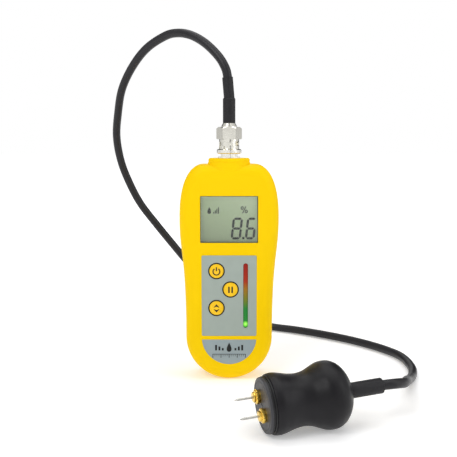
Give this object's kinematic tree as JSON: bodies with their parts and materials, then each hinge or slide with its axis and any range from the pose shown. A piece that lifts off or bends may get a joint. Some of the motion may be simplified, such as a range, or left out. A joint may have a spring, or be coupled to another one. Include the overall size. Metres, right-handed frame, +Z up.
{
  "type": "pin moisture meter",
  "caption": "Handheld pin-type moisture meter with a rounded case, display, keys and light bar, and a two-pin probe on a screened lead with a bayonet plug.",
  "frame": {"origin": "point on the standing surface under the middle of the meter's rounded foot, midway through the case's depth", "axes": "+Z up the case from the foot to the connector, -Y out of the display, +X to the right of someone reading the display"},
  "size_m": [0.1866, 0.2054, 0.2005],
  "materials": {
    "case_yellow": "fine satin moulded",
    "black_rubber": "matt",
    "dark_steel": "blackened",
    "clear_window": "polished",
    "lcd_glass": "smooth",
    "white_plastic": "smooth",
    "strip_rubber": "matt",
    "label_grey": "fine matt film",
    "plate_grey": "fine matt film",
    "black_plastic": "smooth",
    "key_yellow": "gloss",
    "light_pipe": "gloss",
    "led_white": "gloss",
    "board_green": "solder mask",
    "battery_wrap": "gloss",
    "nickel": "bright nickel",
    "gold": "plated",
    "brass_chuck": "turned, plated",
    "pin_steel": "ground",
    "wire_red": "smooth",
    "wire_white": "smooth",
    "sleeve_black": "satin heat-shrink",
    "lead_black": "satin",
    "grip_rubber": "soft matt",
    "face_grey": "fine matt"
  },
  "bodies": {
    "meter": {"front_shell": "case_yellow", "rear_shell": "case_yellow", "case_seal": "black_rubber", "case_screws": "dark_steel", "display_window": "clear_window", "lcd_panel": "lcd_glass", "lcd_frame": "white_plastic", "lcd_strips": "strip_rubber", "keypad_label": "label_grey", "name_plate": "plate_grey", "key_rings": "black_plastic", "key_switches": "black_plastic", "light_bar": "light_pipe", "indicator_leds": "led_white", "circuit_board": "board_green", "board_chips": "black_plastic", "board_crystal": "nickel", "board_screws": "dark_steel", "batteries": "battery_wrap", "battery_springs": "nickel", "battery_plates": "nickel", "battery_wires": "wire_red", "socket_body": "nickel", "socket_insulator": "white_plastic", "socket_contact": "gold", "socket_washer": "nickel", "socket_nut": "nickel", "socket_wires": "wire_white", "plug_body": "nickel", "plug_spring": "nickel", "plug_insulator": "white_plastic", "plug_pin": "gold", "plug_ferrule": "nickel", "plug_boot": "sleeve_black", "plug_sleeve": "sleeve_black", "lead": "lead_black", "probe_boot": "sleeve_black", "probe_grip": "grip_rubber", "probe_core": "black_plastic", "probe_ring": "black_plastic", "probe_face": "face_grey", "cable_clamp": "nickel", "chuck_posts": "brass_chuck", "post_tags": "nickel", "probe_wires": "wire_white"},
    "power_key": {"power_key": "key_yellow"},
    "hold_key": {"hold_key": "key_yellow"},
    "mode_key": {"mode_key": "key_yellow"},
    "battery_door": {"battery_door": "case_yellow"},
    "coupling_nut": {"coupling_nut": "nickel"},
    "chuck_nut_upper": {"chuck_nut_upper": "brass_chuck"},
    "chuck_nut_lower": {"chuck_nut_lower": "brass_chuck"},
    "pin_upper": {"pin_upper": "pin_steel"},
    "pin_lower": {"pin_lower": "pin_steel"}
  },
  "joints": [
    {"name": "power_key_press", "type": "slide", "parent": "meter", "child": "power_key", "axis": [0, 1, 0], "range_m": [0, 0.0006], "stiffness_N_per_m": 1500, "springref_m": -0.0003},
    {"name": "hold_key_press", "type": "slide", "parent": "meter", "child": "hold_key", "axis": [0, 1, 0], "range_m": [0, 0.0006], "stiffness_N_per_m": 1500, "springref_m": -0.0003},
    {"name": "mode_key_press", "type": "slide", "parent": "meter", "child": "mode_key", "axis": [0, 1, 0], "range_m": [0, 0.0006], "stiffness_N_per_m": 1500, "springref_m": -0.0003},
    {"name": "battery_door_swing", "type": "hinge", "parent": "meter", "child": "battery_door", "pos_m": [0, 0.0113, 0.0683], "axis": [1, 0, 0], "range_deg": [0, 80]},
    {"name": "coupling_nut_turn", "type": "hinge", "parent": "meter", "child": "coupling_nut", "pos_m": [0, 0, 0.134], "axis": [0, 0, 1], "range_deg": [0, 88]},
    {"name": "chuck_nut_upper_turn", "type": "hinge", "parent": "meter", "child": "chuck_nut_upper", "pos_m": [0.01214, -0.08753, 0.01704], "axis": [-0.9613, -0.2666, -0.0698], "range_deg": [0, 300]},
    {"name": "pin_upper_pull", "type": "slide", "parent": "meter", "child": "pin_upper", "axis": [-0.9613, -0.2666, -0.0698], "range_m": [0, 0.012]},
    {"name": "chuck_nut_lower_turn", "type": "hinge", "parent": "meter", "child": "chuck_nut_lower", "pos_m": [0.01462, -0.09479, 0.01063], "axis": [-0.9613, -0.2666, -0.0698], "range_deg": [0, 300]},
    {"name": "pin_lower_pull", "type": "slide", "parent": "meter", "child": "pin_lower", "axis": [-0.9613, -0.2666, -0.0698], "range_m": [0, 0.012]}
  ]
}
